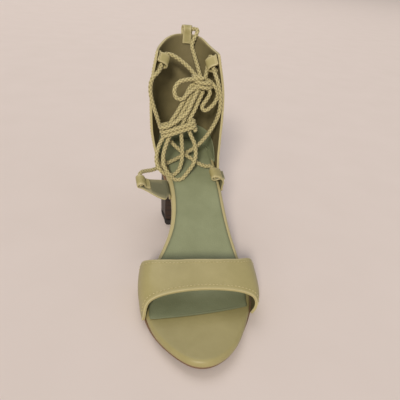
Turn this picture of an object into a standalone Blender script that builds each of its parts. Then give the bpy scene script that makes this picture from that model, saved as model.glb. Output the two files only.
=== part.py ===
"""Open-toe lace-up sandal with a block heel, a left shoe.

Sizes are in millimetres and become metres where a mesh is made. A station is a distance from the
toe tip towards the heel. The toe points to -Y, the wearer's inner side is -X, and the floor is Z = 0.
"""

import math

import bmesh
import bpy
import numpy as np
from mathutils import Vector

MM = 0.001

# Driving dimensions
LENGTH = 225.0
BED_LENGTH = 222.4
GAP = 0.35
OUTSOLE = 2.5
BED_THICK = 5.2
RIM = 2.6
SOCK_THICK = 1.0
SOCK_INSET = 3.6
TOP_PIECE = 5.0
WALL = 2.0
LOOP_WALL = 1.4
TAB_WALL = 1.4

# How finely the sole is divided: along it, across it, and along its edge curve
SOLE_ROWS = 30
SOLE_COLUMNS = 3
EDGE_STEPS = 24


def table(columns, *rows):
    """Rows of numbers under named columns, as one list for each column."""
    return {name: [row[i] for row in rows] for i, name in enumerate(columns.split())}


# Edge of the footbed, and how far the outsole stands past it
bed_edge = table(
    "station medial lateral margin",
    (1.4, -10.6, 3.4, -1.5),
    (6.4, -17.6, 11.4, -1.4),
    (14.0, -24.3, 18.6, -1.2),
    (26.0, -32.4, 25.7, -0.8),
    (40.0, -37.4, 31.9, 0.2),
    (54.0, -39.7, 37.0, 1.2),
    (68.0, -40.4, 39.8, 1.4),
    (80.0, -38.6, 40.6, 1.0),
    (92.0, -33.6, 39.4, -0.6),
    (103.0, -28.1, 37.0, -1.2),
    (112.0, -23.2, 34.9, -1.2),
    (120.0, -19.3, 32.9, -1.2),
    (130.0, -16.9, 30.9, -1.2),
    (142.0, -16.2, 29.1, -1.0),
    (155.0, -17.4, 27.8, -0.2),
    (168.0, -20.2, 25.9, 0.8),
    (182.0, -23.2, 25.0, 1.6),
    (196.0, -24.4, 24.4, 1.8),
    (208.0, -22.0, 21.9, 1.8),
    (217.0, -14.9, 14.9, 1.8),
)
TOE_X = -3.4
HEEL_X = 0.0

# Side faces of the sole's layers, from the bottom up: inset from the edge, share of the thickness
outsole_side = table(
    "inset share",
    (0.9, 0.0),
    (0.0, 0.32),
    (0.0, 1.0),
)
footbed_side = table(
    "inset share",
    (1.0, 0.0),
    (0.2, 0.14),
    (0.0, 0.45),
)
sock_side = table(
    "inset share",
    (0.0, 0.0),
    (0.0, 0.6),
    (0.5, 1.0),
)
RIM_TURNS = (35.0, 65.0, 90.0)

# Front edge of the sock: a shallow curve that slants back towards the outer side
SOCK_FRONT = {"station": 42.2, "x": -2.7, "slant": 0.154, "bend": 0.0018, "clear": 2.0}

# Top of the footbed along the foot, and its crown across
bed_profile = table(
    "station height crown",
    (0.0, 10.6, 0.4),
    (20.0, 8.9, 1.0),
    (44.0, 8.1, 0.4),
    (50.0, 8.05, 0.0),
    (78.0, 8.05, -0.3),
    (88.0, 9.4, -0.4),
    (98.8, 12.9, -0.5),
    (109.8, 18.7, -0.6),
    (118.6, 24.3, -0.7),
    (127.2, 30.2, -0.8),
    (136.0, 36.4, -0.8),
    (145.0, 42.7, -0.8),
    (154.8, 49.0, -0.9),
    (166.0, 54.7, -1.0),
    (176.0, 58.4, -1.2),
    (190.0, 62.2, -1.4),
    (205.0, 65.5, -1.4),
    (LENGTH, 69.4, -1.2),
)

# Block heel: share of its height, and how far each face draws in from the seat's outline
heel_faces = table(
    "share side back breast",
    (0.0, 5.0, 8.0, 3.4),
    (0.30, 4.2, 6.6, 3.0),
    (0.75, 3.6, 3.6, 1.6),
    (1.0, 3.2, 1.6, 0.0),
)
HEEL_BREAST = 168.0
HEEL_MIDDLE = 195.0
BREAST_CLEAR = 2.0
HEEL_LEVELS = 5
BREAST_COLUMNS = 3

# Toe strap: a row for each place round the foot, from the inner sole edge to the outer one; hug draws it
# from the last's side in to the footbed's edge
strap_arc = table(
    "spread hug rise front rear",
    (-1.000, 1.0, 0.00, 44.0, 83.0),
    (-1.000, 0.62, 0.15, 43.4, 84.4),
    (-1.000, 0.15, 0.34, 43.4, 86.4),
    (-0.975, 0.0, 0.56, 44.2, 86.0),
    (-0.885, 0.0, 0.77, 45.4, 81.2),
    (-0.660, 0.0, 0.91, 47.0, 77.4),
    (-0.340, 0.0, 0.98, 48.4, 75.2),
    (0.000, 0.0, 1.00, 49.2, 75.0),
    (0.340, 0.0, 0.98, 49.2, 75.4),
    (0.660, 0.0, 0.93, 48.4, 77.0),
    (0.885, 0.0, 0.80, 47.2, 82.4),
    (0.975, 0.0, 0.60, 46.4, 85.4),
    (1.000, 0.12, 0.37, 46.2, 86.4),
    (1.000, 0.58, 0.16, 46.8, 85.0),
    (1.000, 1.0, 0.00, 48.0, 84.0),
)
strap_last = table(
    "station medial lateral crown",
    (42.0, -39.4, 37.6, 21.4),
    (48.0, -41.4, 41.0, 22.8),
    (55.0, -43.2, 43.6, 24.6),
    (65.0, -44.3, 44.4, 27.0),
    (76.0, -44.2, 44.8, 29.4),
    (87.0, -42.6, 44.6, 31.4),
)
STRAP_FOOT = OUTSOLE + 2 * GAP
STRAP_ROWS = 6
STRAP_STEPS = 2

# Counter: plan of its outer face at each height; spine is the x of its middle back, and square its fullness
counter_plan = table(
    "height back front medial lateral spine square",
    (62.0, 224.2, 175.0, -27.6, 27.4, 0.0, 2.50),
    (70.0, 224.9, 176.0, -30.2, 26.9, -0.4, 2.45),
    (80.0, 225.0, 177.4, -32.8, 27.2, -1.0, 2.40),
    (94.0, 224.2, 179.2, -34.8, 27.6, -1.8, 2.35),
    (110.0, 222.4, 180.6, -36.0, 27.4, -2.6, 2.25),
    (124.0, 221.2, 181.4, -36.2, 26.6, -3.4, 2.15),
    (136.0, 220.8, 182.2, -35.4, 24.6, -4.0, 2.10),
    (150.0, 221.2, 183.0, -33.2, 21.2, -4.4, 2.05),
    (166.0, 222.0, 183.6, -30.6, 17.6, -4.6, 2.00),
)
counter_top = table(
    "place height",
    (-1.0, 156.4),
    (-0.8, 157.6),
    (-0.62, 160.0),
    (-0.45, 162.6),
    (-0.25, 164.6),
    (0.0, 165.2),
    (0.25, 164.2),
    (0.5, 159.0),
    (0.72, 156.8),
    (1.0, 156.4),
)
SEAT_FRONT = 174.5
SEAT_LEAD = 12.0
SEAT_GAP = 0.5
SEAT_BLEND = 15.0
COLLAR_STEPS = 24
PLAN_COLUMNS = ("back", "front", "medial", "lateral", "spine", "square")
COUNTER_COLUMNS = 30
COUNTER_ROWS = 13

# Strip loops: legs on the wall, reach past it, width of the strip
BACK_LOOP = {"leg": 8.0, "reach": 6.6, "swell": 2.6, "width": 9.0, "share": 0.99}
EAR_LOOP = {
    "height": 148.2,
    "span": 4.8,
    "reach": 8.0,
    "foot": 1.6,
    "width": 9.0,
    "place": 0.84,
    "lean": 45.0,
}
LEG_STEPS = 3
BOW_STEPS = 10

# Side tabs: a row for each fold of the strip, from the sole edge to the end of its loop
tab_folds = {
    "medial": table(
        "length turn",
        (4.6, 0.0),
        (7.0, 70.0),
        (19.2, -4.0),
        (5.0, -6.0),
        (8.64, -180.0),
        (4.0, -50.0),
        (4.0, 50.0),
        (2.0, 0.0),
    ),
    "lateral": table(
        "length turn",
        (4.6, 0.0),
        (4.0, 10.0),
        (7.0, -54.0),
        (6.0, -26.0),
        (8.64, -180.0),
        (4.0, -50.0),
        (4.0, 50.0),
        (2.0, 0.0),
    ),
}
TAB_STATION = {"medial": 156.0, "lateral": 164.0}
TAB_ROOT = 16.0
TAB_END = 9.5
TAB_TAPER = 0.6
TAB_STEP = 1.4
# Swell of a tab's front edge, and where along the strip it starts, is widest and ends
TAB_SWELL = {"medial": (6.6, 7.0, 13.0, 36.0), "lateral": (0.0, 7.0, 13.0, 21.0)}

# Lace: two runs that cross over the instep, from the knot through the ear loops to the side tabs
CORD = 3.2
CORD_STEP = 1.5 * CORD
CORD_SPAN = 12
lace_runs = {
    "medial": table(
        "x station height",
        (1.9, 190.5, 136.8),
        (-5.0, 194.2, 143.0),
        (-13.0, 196.4, 148.4),
        (-19.5, 197.0, 151.2),
        (-24.4, 195.0, 151.4),
        (-26.8, 190.2, 147.2),
        (-28.2, 185.2, 142.4),
        (-30.4, 181.2, 139.6),
        (-33.6, 179.0, 137.0),
        (-35.6, 178.5, 132.0),
        (-36.0, 178.3, 127.0),
        (-35.2, 178.0, 120.5),
        (-32.5, 178.0, 111.0),
        (-29.6, 179.0, 103.0),
        (-26.6, 181.2, 94.5),
        (-18.4, 182.6, 82.0),
        (-4.9, 180.8, 69.4),
        (3.0, 177.5, 65.4),
        (9.4, 173.0, 63.4),
        (14.3, 169.2, 63.2),
        (17.7, 166.2, 64.7),
        (19.4, 161.8, 63.6),
        (20.2, 156.9, 61.3),
        (20.8, 152.8, 59.4),
    ),
    "lateral": table(
        "x station height",
        (10.8, 191.6, 137.5),
        (12.2, 196.4, 143.0),
        (13.0, 198.8, 147.6),
        (13.8, 198.2, 151.2),
        (14.7, 195.0, 151.4),
        (15.5, 190.8, 147.4),
        (16.6, 185.6, 142.2),
        (17.6, 181.6, 139.4),
        (19.2, 178.8, 135.4),
        (20.8, 178.0, 130.0),
        (22.8, 178.0, 122.0),
        (23.2, 178.4, 112.0),
        (21.9, 179.4, 104.0),
        (18.9, 180.8, 95.4),
        (13.0, 182.2, 84.2),
        (6.6, 182.2, 76.8),
        (-4.9, 180.8, 69.4),
        (-11.5, 178.4, 65.6),
        (-19.5, 174.8, 62.4),
        (-26.5, 169.8, 60.6),
        (-33.2, 163.4, 60.8),
        (-38.6, 157.4, 62.6),
        (-42.4, 151.8, 63.8),
        (-43.7, 146.5, 62.5),
        (-43.0, 142.4, 60.2),
        (-42.3, 138.4, 58.0),
    ),
}

# Lace: the bow's two hanging loops, its two small loops, and the tie to the back loop, all from the knot
lace_loops = {
    "lace_bow_a": table(
        "x station height",
        (-0.4, 186.4, 130.4),
        (-4.2, 184.2, 125.4),
        (-8.3, 180.4, 116.7),
        (-13.6, 176.8, 107.6),
        (-18.4, 174.8, 99.8),
        (-20.9, 174.5, 91.4),
        (-24.4, 173.8, 85.8),
        (-27.2, 172.2, 80.2),
        (-28.9, 169.4, 74.4),
        (-29.3, 165.6, 68.4),
        (-27.1, 163.2, 62.8),
        (-20.4, 162.6, 57.4),
        (-14.5, 163.0, 57.0),
        (-10.4, 164.8, 59.8),
        (-7.7, 167.8, 66.0),
        (-7.0, 170.8, 73.6),
        (-7.8, 173.6, 83.0),
        (-8.6, 174.5, 92.5),
        (-7.0, 175.2, 102.5),
        (-1.8, 179.6, 112.4),
        (1.4, 182.8, 119.3),
        (5.1, 186.3, 125.5),
    ),
    "lace_bow_b": table(
        "x station height",
        (2.2, 186.3, 127.6),
        (-1.6, 183.2, 121.8),
        (-5.0, 180.0, 114.6),
        (-9.4, 177.0, 107.2),
        (-13.8, 174.8, 99.4),
        (-16.6, 174.5, 92.6),
        (-19.4, 173.0, 86.4),
        (-22.0, 169.6, 80.2),
        (-23.8, 165.2, 73.2),
        (-23.4, 161.2, 67.2),
        (-19.8, 159.0, 61.2),
        (-13.2, 158.6, 54.8),
        (-7.4, 159.2, 55.2),
        (-2.5, 161.6, 60.2),
        (2.5, 165.4, 66.6),
        (4.5, 169.0, 73.6),
        (3.2, 172.2, 82.6),
        (-1.6, 174.5, 92.7),
        (-2.2, 175.2, 102.8),
        (1.8, 179.4, 110.4),
        (5.0, 182.8, 117.2),
        (8.5, 186.6, 124.2),
    ),
    "lace_side_loop": table(
        "x station height",
        (2.2, 183.6, 135.4),
        (-7.1, 180.6, 135.1),
        (-13.0, 178.6, 133.2),
        (-16.3, 177.4, 127.6),
        (-14.6, 177.0, 121.1),
        (-9.5, 177.6, 119.8),
        (-5.1, 179.2, 124.1),
        (3.0, 182.6, 130.0),
    ),
    "lace_leaf_loop": table(
        "x station height",
        (15.4, 186.8, 131.8),
        (19.3, 184.4, 128.7),
        (21.1, 183.0, 122.6),
        (18.6, 182.0, 116.2),
        (15.0, 181.6, 112.4),
        (12.0, 181.2, 110.4),
        (9.2, 181.2, 111.2),
        (8.9, 181.6, 114.2),
        (11.8, 182.8, 118.6),
        (14.4, 184.6, 124.0),
        (13.4, 186.2, 127.6),
    ),
    "lace_back_tie": table(
        "x station height",
        (5.8, 192.8, 136.9),
        (3.5, 200.0, 144.0),
        (1.1, 207.2, 151.0),
        (-0.4, 212.2, 156.2),
        (0.3, 214.4, 160.0),
        (1.9, 215.0, 163.6),
        (3.5, 216.2, 166.8),
        (3.9, 218.4, 169.0),
        (2.2, 220.4, 169.4),
        (-0.8, 221.0, 169.0),
        (-4.8, 221.1, 168.7),
        (-8.6, 221.1, 168.6),
    ),
}
KNOT = {"middle": (7.5, 188.0, 132.0), "half": (7.5, 5.5, 6.5), "around": 16, "rows": 10}

# Lace: the turn round the bow's four strands, a flat ring with round ends
WRAP = {"middle": (-11.8, 174.6, 95.6), "across": (0.955, 0.0, 0.30), "half": 14.4, "deep": 3.7, "steps": 5}

COLOURS = {
    "strap_leather": ((0.451, 0.402, 0.188), 0.42),
    "sole_leather": ((0.148, 0.084, 0.047), 0.60),
    "sock_leather": ((0.275, 0.296, 0.168), 0.62),
    "heel_stack": ((0.033, 0.018, 0.013), 0.45),
    "tip_rubber": ((0.020, 0.017, 0.015), 0.80),
    "lace_braid": ((0.479, 0.423, 0.214), 0.75),
}


def slopes(xs, ys):
    """Tangents of a curve through the points that never overshoots them."""
    steps = np.diff(xs)
    rates = np.diff(ys) / steps
    out = np.zeros(len(xs))
    out[0], out[-1] = rates[0], rates[-1]
    for i in range(1, len(xs) - 1):
        if rates[i - 1] * rates[i] > 0:
            a = 2 * steps[i] + steps[i - 1]
            b = steps[i] + 2 * steps[i - 1]
            out[i] = (a + b) / (a / rates[i - 1] + b / rates[i])
    return out


def along(rows, key, name, at):
    """A column's value where the key column is at the given value, by a smooth curve."""
    xs, ys = np.array(rows[key], float), np.array(rows[name], float)
    at = min(max(at, xs[0]), xs[-1])
    i = min(int(np.searchsorted(xs, at, side="right")) - 1, len(xs) - 2)
    m, h = slopes(xs, ys), xs[i + 1] - xs[i]
    t = (at - xs[i]) / h
    return float(
        ys[i] * (1 + 2 * t) * (1 - t) ** 2
        + m[i] * h * t * (1 - t) ** 2
        + ys[i + 1] * t * t * (3 - 2 * t)
        + m[i + 1] * h * t * t * (t - 1)
    )


def smooth_line(points, per_span, closed=False):
    """Points of a smooth curve through the given ones."""
    p = [Vector(q) for q in points]
    n = len(p)
    ends = [p[-1], *p, p[0], p[1]] if closed else [2 * p[0] - p[1], *p, 2 * p[-1] - p[-2]]
    out = []
    for i in range(n if closed else n - 1):
        a, b, c, d = ends[i : i + 4]
        u, v, w = (math.sqrt((q - r).length) for q, r in ((b, a), (c, b), (d, c)))
        out_b = ((b - a) / u - (c - a) / (u + v) + (c - b) / v) * v
        in_c = ((c - b) / v - (d - b) / (v + w) + (d - c) / w) * v
        for k in range(per_span):
            t = k / per_span
            out.append(
                b * (1 + 2 * t) * (1 - t) ** 2
                + out_b * t * (1 - t) ** 2
                + c * t * t * (3 - 2 * t)
                + in_c * t * t * (t - 1)
            )
    return out if closed else out + [p[-1]]


def bed_height(station):
    return along(bed_profile, "station", "height", station)


def bed_slope(station):
    """Rise for each millimetre along the foot."""
    return bed_height(station + 0.5) - bed_height(station - 0.5)


def steepness(station):
    """What a thickness square to the sole measures straight up."""
    return math.hypot(1.0, bed_slope(station))


def sole_top(station):
    """Top of the outsole, under the footbed."""
    return bed_height(station) - (BED_THICK + GAP) * steepness(station)


def edge_lines():
    """The footbed's inner and outer edges, from toe tip to heel, as rows of (station, x)."""
    inner = list(zip(bed_edge["medial"], bed_edge["station"]))
    outer = list(zip(bed_edge["lateral"], bed_edge["station"]))
    loop = [(TOE_X, 0.0), *inner, (HEEL_X, BED_LENGTH), *reversed(outer)]
    line = smooth_line([(x, s, 0.0) for x, s in loop], EDGE_STEPS, closed=True)
    heel = EDGE_STEPS * (len(inner) + 1)
    medial = line[: heel + 1]
    lateral = [line[0], *reversed(line[heel:])]
    return [np.array([(p.y, p.x) for p in side]) for side in (medial, lateral)]


EDGES = edge_lines()


def bed_side(side, station):
    """X of the footbed's edge at a station; side 0 is the inner edge and 1 the outer one."""
    line = EDGES[side]
    return float(np.interp(station, line[:, 0], line[:, 1]))


def bed_ring():
    """Plan of the footbed's edge: toe tip, inner edge, heel, outer edge."""
    share = [(1 - math.cos(math.pi * i / SOLE_ROWS)) / 2 for i in range(1, SOLE_ROWS)]
    stations = [BED_LENGTH * f for f in share]
    inner = [Vector((bed_side(0, s), s)) for s in stations]
    outer = [Vector((bed_side(1, s), s)) for s in stations]
    toe, heel = Vector((TOE_X, 0.0)), Vector((HEEL_X, BED_LENGTH))
    return [toe, *inner, heel, *reversed(outer)]


def outward(ring):
    """The plan normal at each point of a ring that runs from the toe down the inner edge."""
    out = []
    for i in range(len(ring)):
        d = ring[(i + 1) % len(ring)] - ring[i - 1]
        out.append(Vector((-d.y, d.x)).normalized())
    return out


def moved(ring, reach):
    """The ring moved outwards by a reach, or by a reach for each of its points."""
    far = reach if isinstance(reach, list) else [reach] * len(ring)
    return [p + n * r for p, n, r in zip(ring, outward(ring), far)]


def place(x, station, height):
    """A point of the model, in metres, with the shoe's middle over the origin."""
    return Vector((x, station - LENGTH / 2, height)) * MM


def finish(name, bm, material, smooth_angle=40.0):
    """A named object from a mesh under construction."""
    bmesh.ops.recalc_face_normals(bm, faces=bm.faces)
    mesh = bpy.data.meshes.new(name)
    bm.to_mesh(mesh)
    bm.free()
    mesh.shade_smooth()
    mesh.set_sharp_from_angle(angle=math.radians(smooth_angle))
    obj = bpy.data.objects.new(name, mesh)
    mesh.materials.append(materials[material])
    sandal.objects.link(obj)
    return obj


def skin(bm, low, high):
    """Faces between two rings of vertices."""
    for i in range(len(low)):
        bm.faces.new((low[i - 1], low[i], high[i], high[i - 1]))


def ladder(bm, ring, columns, height):
    """Faces across a ring: rows from its inner edge to its outer one, and a fan at toe and heel."""
    half = len(ring) // 2
    rows = [[ring[0]]]
    for i in range(1, half):
        a, b = ring[i].co / MM, ring[-i].co / MM
        row = [ring[i]]
        for k in range(1, columns + 1):
            q = a.lerp(b, k / (columns + 1))
            station = q.y + LENGTH / 2
            row.append(bm.verts.new(place(q.x, station, height(q.x, station))))
        rows.append([*row, ring[-i]])
    rows.append([ring[half]])
    for a, b in zip(rows, rows[1:]):
        if len(a) == 1 or len(b) == 1:
            tip, row = (a[0], b) if len(a) == 1 else (b[0], a)
            for p, q in zip(row, row[1:]):
                bm.faces.new((tip, p, q))
        else:
            for k in range(len(a) - 1):
                bm.faces.new((a[k], a[k + 1], b[k + 1], b[k]))


def crown(x, station):
    """How far the footbed's top stands above its edge line, domed at the toe and hollow at the heel."""
    low, high = bed_side(0, station), bed_side(1, station)
    q = (2 * x - low - high) / max(high - low, 1.0)
    return along(bed_profile, "station", "crown", station) * max(0.0, 1 - q * q)


def side_steps(rows):
    """A side face's rows as steps of a layer, with no lift."""
    return [(inset, share, 0.0) for inset, share in zip(*rows.values())]


def sole_layer(name, ring, steps, top, bottom, material):
    """A closed sheet along the foot; each step is (inset from the ring, share of the thickness, lift)."""
    bm = bmesh.new()
    rings = []
    for inset, share, lift in steps:
        loop = moved(ring, -inset)
        verts = []
        for p in loop:
            low, high = bottom(p.x, p.y), top(p.x, p.y)
            verts.append(bm.verts.new(place(p.x, p.y, low + (high - low) * share + lift)))
        rings.append(verts)
    for low, high in zip(rings, rings[1:]):
        skin(bm, low, high)
    ladder(bm, rings[0], SOLE_COLUMNS, bottom)
    ladder(bm, rings[-1], SOLE_COLUMNS, top)
    return finish(name, bm, material)


def bed_top(x, station):
    return bed_height(station) + crown(x, station)


def bed_bottom(x, station):
    return sole_top(station) + GAP * steepness(station)


def make_outsole():
    """Thin sheet from toe to heel, its edge rounded under."""
    steps = side_steps(outsole_side)
    return sole_layer("outsole", outsole_ring(), steps, outsole_top, outsole_bottom, "sole_leather")


def outsole_top(x, station):
    return sole_top(station)


def outsole_bottom(x, station):
    return sole_top(station) - OUTSOLE * steepness(station)


def make_footbed():
    """Board wrapped in leather, with a rolled rim."""
    steps = side_steps(footbed_side)
    for turn in RIM_TURNS:
        a = math.radians(turn)
        steps.append((RIM * (1 - math.cos(a)), 1.0, -RIM * (1 - math.sin(a))))
    return sole_layer("footbed", bed_ring(), steps, bed_top, bed_bottom, "strap_leather")


def sock_front(x):
    """Station of the sock's front edge."""
    far = x - SOCK_FRONT["x"]
    return SOCK_FRONT["station"] + SOCK_FRONT["slant"] * far + SOCK_FRONT["bend"] * far * far


def sock_ring():
    """Plan of the sock: the footbed's edge drawn in, cut off ahead of the strap."""
    ring = moved(bed_ring(), -SOCK_INSET)
    half = len(ring) // 2
    inner, outer = (
        [p for p in side if p.y > sock_front(p.x) + SOCK_FRONT["clear"]]
        for side in (ring[1:half], ring[half + 1 :])
    )
    count = min(len(inner), len(outer))
    inner, outer = inner[-count:], outer[:count]
    left, right = inner[0].x, outer[-1].x
    middle = (left + right) / 2
    across = (middle, (left + middle) / 2, left, right, (right + middle) / 2)
    front = [Vector((x, sock_front(x))) for x in across]
    return [*front[:3], *inner, ring[half], *outer, *front[3:]]


def make_sock():
    """Thin lining sheet that lies on the footbed."""
    def low(x, station):
        return bed_top(x, station) + GAP * steepness(station)

    def high(x, station):
        return low(x, station) + SOCK_THICK * steepness(station)

    return sole_layer("insole_sock", sock_ring(), side_steps(sock_side), high, low, "sock_leather")


def outsole_ring():
    """Plan of the outsole's edge."""
    ring = bed_ring()
    return moved(ring, [along(bed_edge, "station", "margin", p.y) for p in ring])


def heel_rows(share):
    """Plan of the heel at a share of its height, as rows of (inner x, outer x, station), and its back."""
    side, back, breast = (along(heel_faces, "share", k, share) for k in ("side", "back", "breast"))
    ring = outsole_ring()
    half = len(ring) // 2
    seat = moved(ring, -side)
    end = ring[half].y
    front, rear = HEEL_BREAST + breast, end - back
    rows = []
    for i in range(1, half):
        if ring[i].y > HEEL_BREAST + BREAST_CLEAR:
            deep = (seat[i].y - HEEL_BREAST) / (seat[half].y - HEEL_BREAST)
            rows.append((seat[i].x, seat[-i].x, front + (rear - front) * deep))
    first = (rows[0][0], rows[0][1], front)
    return [first, *rows], (seat[half].x, rear)


def make_heel(name, low_share, high_share, levels, material, floor, roof):
    """A slice of the heel between two shares of its height, with its floor and roof by station."""
    bm = bmesh.new()
    rings = []
    for level in range(levels):
        t = level / (levels - 1)
        rows, back = heel_rows(low_share + (high_share - low_share) * t)
        ring = [(a, s) for a, b, s in rows] + [back] + [(b, s) for a, b, s in reversed(rows)]
        inner, outer, front = rows[0]
        for k in range(BREAST_COLUMNS):
            ring.append((outer + (inner - outer) * (k + 1) / (BREAST_COLUMNS + 1), front))
        rings.append([bm.verts.new(place(x, s, floor(s) + (roof(s) - floor(s)) * t)) for x, s in ring])
    for low, high in zip(rings, rings[1:]):
        skin(bm, low, high)
    count = len(rows)
    for verts, height in ((rings[0], floor), (rings[-1], roof)):
        across = [[verts[0], *reversed(verts[2 * count + 1 :]), verts[2 * count]]]
        for i in range(1, count):
            a, b = verts[i], verts[2 * count - i]
            row = [a]
            for k in range(1, BREAST_COLUMNS + 1):
                q = a.co.lerp(b.co, k / (BREAST_COLUMNS + 1)) / MM
                station = q.y + LENGTH / 2
                row.append(bm.verts.new(place(q.x, station, height(station))))
            across.append([*row, b])
        for p, q in zip(across, across[1:]):
            for k in range(BREAST_COLUMNS + 1):
                bm.faces.new((p[k], p[k + 1], q[k + 1], q[k]))
        for p, q in zip(across[-1], across[-1][1:]):
            bm.faces.new((verts[count], p, q))
    return finish(name, bm, material)


def sheet(bm, grid):
    """Faces over a grid of points, each a place in millimetres."""
    verts = [[bm.verts.new(place(*p)) for p in row] for row in grid]
    for a, b in zip(verts, verts[1:]):
        for k in range(len(a) - 1):
            bm.faces.new((a[k], a[k + 1], b[k + 1], b[k]))


def shell(name, grid, wall, offset, material):
    """A sheet over a grid, given its thickness by Solidify."""
    bm = bmesh.new()
    sheet(bm, grid)
    mesh = bpy.data.meshes.new(name)
    bm.to_mesh(mesh)
    bm.free()
    mesh.shade_smooth()
    obj = bpy.data.objects.new(name, mesh)
    mesh.materials.append(materials[material])
    sandal.objects.link(obj)
    thick = obj.modifiers.new("wall", "SOLIDIFY")
    thick.thickness = wall * MM
    thick.offset = offset
    thick.use_even_offset = True
    return obj


def strap_point(spread, hug, rise, station):
    """Point of the strap's outer face, by its place round the foot and its station."""
    inner, outer, top = (along(strap_last, "station", k, station) for k in ("medial", "lateral", "crown"))
    x = (inner + outer) / 2 + spread * (outer - inner) / 2
    side = 1 if spread > 0 else 0
    edge = bed_side(side, station) + math.copysign(WALL + 2 * GAP, spread)
    return (x + (edge - x) * hug, station, STRAP_FOOT + rise * top)


def make_strap():
    """Wide band over the toes, its outer face through the rows of its arc."""
    rows = list(zip(*strap_arc.values()))
    arc = smooth_line([row[:3] for row in rows], STRAP_STEPS)
    ends = smooth_line([(front, rear, i) for i, (_, _, _, front, rear) in enumerate(rows)], STRAP_STEPS)
    grid = []
    for (spread, hug, rise), (front, rear, _) in zip(arc, ends):
        stations = [front + (rear - front) * k / STRAP_ROWS for k in range(STRAP_ROWS + 1)]
        grid.append([strap_point(spread, min(max(hug, 0.0), 1.0), rise, s) for s in stations])
    return shell("toe_strap", grid, WALL, 1.0, "strap_leather")


def seat_line():
    """Outer face of the counter at the sole: the footbed's edge at the heel, moved out by the wall."""
    ring = bed_ring()
    line = moved(ring, SEAT_GAP + WALL)
    kept = [p for p in line if p.y >= SEAT_FRONT - SEAT_LEAD]
    reach = [0.0]
    for a, b in zip(kept, kept[1:]):
        reach.append(reach[-1] + (b - a).length)
    return kept, reach


SEAT, SEAT_REACH = seat_line()


def seat_point(place_round):
    """Point of the counter's foot; the place runs from -1, inner front, to 1, outer front."""
    ys = [p.y for p in SEAT]
    xs = [p.x for p in SEAT]
    back = ys.index(max(ys))
    first = np.interp(SEAT_FRONT, ys[: back + 1], SEAT_REACH[: back + 1])
    last = np.interp(-SEAT_FRONT, [-y for y in ys[back:]], SEAT_REACH[back:])
    middle = SEAT_REACH[back]
    at = middle + place_round * ((middle - first) if place_round < 0 else (last - middle))
    return Vector((np.interp(at, SEAT_REACH, xs), np.interp(at, SEAT_REACH, ys)))


def collar_line(height):
    """Plan of the counter's outer face at a height, from its inner front edge to its outer one."""
    plan = (along(counter_plan, "height", k, height) for k in PLAN_COLUMNS)
    back, front, inner, outer, spine, square = plan
    half, lean = (outer - inner) / 2, (outer + inner) / 2 - spine
    line = []
    for i in range(-COLLAR_STEPS, COLLAR_STEPS + 1):
        a = math.pi / 2 * abs(i) / COLLAR_STEPS
        deep = math.cos(a) ** (2 / square)
        x = math.copysign(half * math.sin(a) ** (2 / square), i)
        line.append((spine + lean * (1 - deep) + x, front + (back - front) * deep))
    return np.array(line)


def collar_point(place_round, height):
    """Point of the counter's outer face at a height above the seat, by its share of the way round."""
    line = collar_line(height)
    reach = np.concatenate([[0.0], np.cumsum(np.linalg.norm(np.diff(line, axis=0), axis=1))])
    middle = reach[COLLAR_STEPS]
    at = middle + place_round * (middle if place_round < 0 else reach[-1] - middle)
    return Vector((np.interp(at, reach, line[:, 0]), np.interp(at, reach, line[:, 1])))


def counter_point(place_round, share):
    """Point of the counter's outer face, by its place round the heel and its share of the height."""
    foot = seat_point(place_round)
    low = sole_top(foot.y) + 2 * GAP
    high = along(counter_top, "place", "height", place_round)
    height = low + (high - low) * share
    t = min(1.0, (height - low) / SEAT_BLEND)
    t = t * t * (3 - 2 * t)
    plan = foot.lerp(collar_point(place_round, height), t)
    return Vector((plan.x, plan.y, height))


def make_counter():
    """Tall back panel, a hollow wall open at the front and at the top."""
    grid = []
    for i in range(COUNTER_COLUMNS + 1):
        a = -1 + 2 * i / COUNTER_COLUMNS
        grid.append([counter_point(a, j / COUNTER_ROWS) for j in range(COUNTER_ROWS + 1)])
    return shell("counter", grid, WALL, -1.0, "strap_leather")


def wall_frame(place_round, share):
    """A place on the counter's outer face, with the directions round it, up it and out of it."""
    e = 0.01
    low, high = max(-1.0, place_round - e), min(1.0, place_round + e)
    here = counter_point(place_round, share)
    round_it = (counter_point(high, share) - counter_point(low, share)).normalized()
    above, below = counter_point(place_round, min(1.0, share + e)), counter_point(place_round, share - e)
    up = (above - below).normalized()
    out = up.cross(round_it).normalized()
    return here, up, out


def wall_share(place_round, height):
    """The share of the counter's height at which a place round it has the given height."""
    low = sole_top(seat_point(place_round).y) + 2 * GAP
    high = along(counter_top, "place", "height", place_round)
    return (height - low) / (high - low)


def places_across(place_round, share, width):
    """Three places round the counter that span a strip's width."""
    e = 0.01
    step = (counter_point(place_round + e, share) - counter_point(place_round - e, share)).length / (2 * e)
    return [place_round + w * width / 2 / step for w in (-1.0, 0.0, 1.0)]


def make_back_loop():
    """Strip that straddles the counter's top edge at the middle of the heel."""
    leg, reach, swell = BACK_LOOP["leg"], BACK_LOOP["reach"], BACK_LOOP["swell"]
    off = WALL / 2 + GAP + LOOP_WALL / 2
    tall = along(counter_top, "place", "height", 0.0) - sole_top(BED_LENGTH)
    columns = []
    for at in places_across(0.0, BACK_LOOP["share"], BACK_LOOP["width"]):
        top, up, out = wall_frame(at, 1.0)
        outer, inner = [], []
        for i in range(LEG_STEPS):
            here, _, away = wall_frame(at, 1.0 - leg * (1 - i / LEG_STEPS) / tall)
            outer.append(here + away * (off - WALL / 2))
            inner.append(here - away * (off + WALL / 2))
        bow = []
        for i in range(BOW_STEPS + 1):
            a = math.pi * i / BOW_STEPS
            n = (off + swell * math.sin(a)) * math.cos(a)
            bow.append(top + out * (n - WALL / 2) + up * (reach * math.sin(a)))
        columns.append([*outer, *bow, *reversed(inner)])
    return shell("back_loop", list(zip(*columns)), LOOP_WALL, 0.0, "strap_leather")


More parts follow.
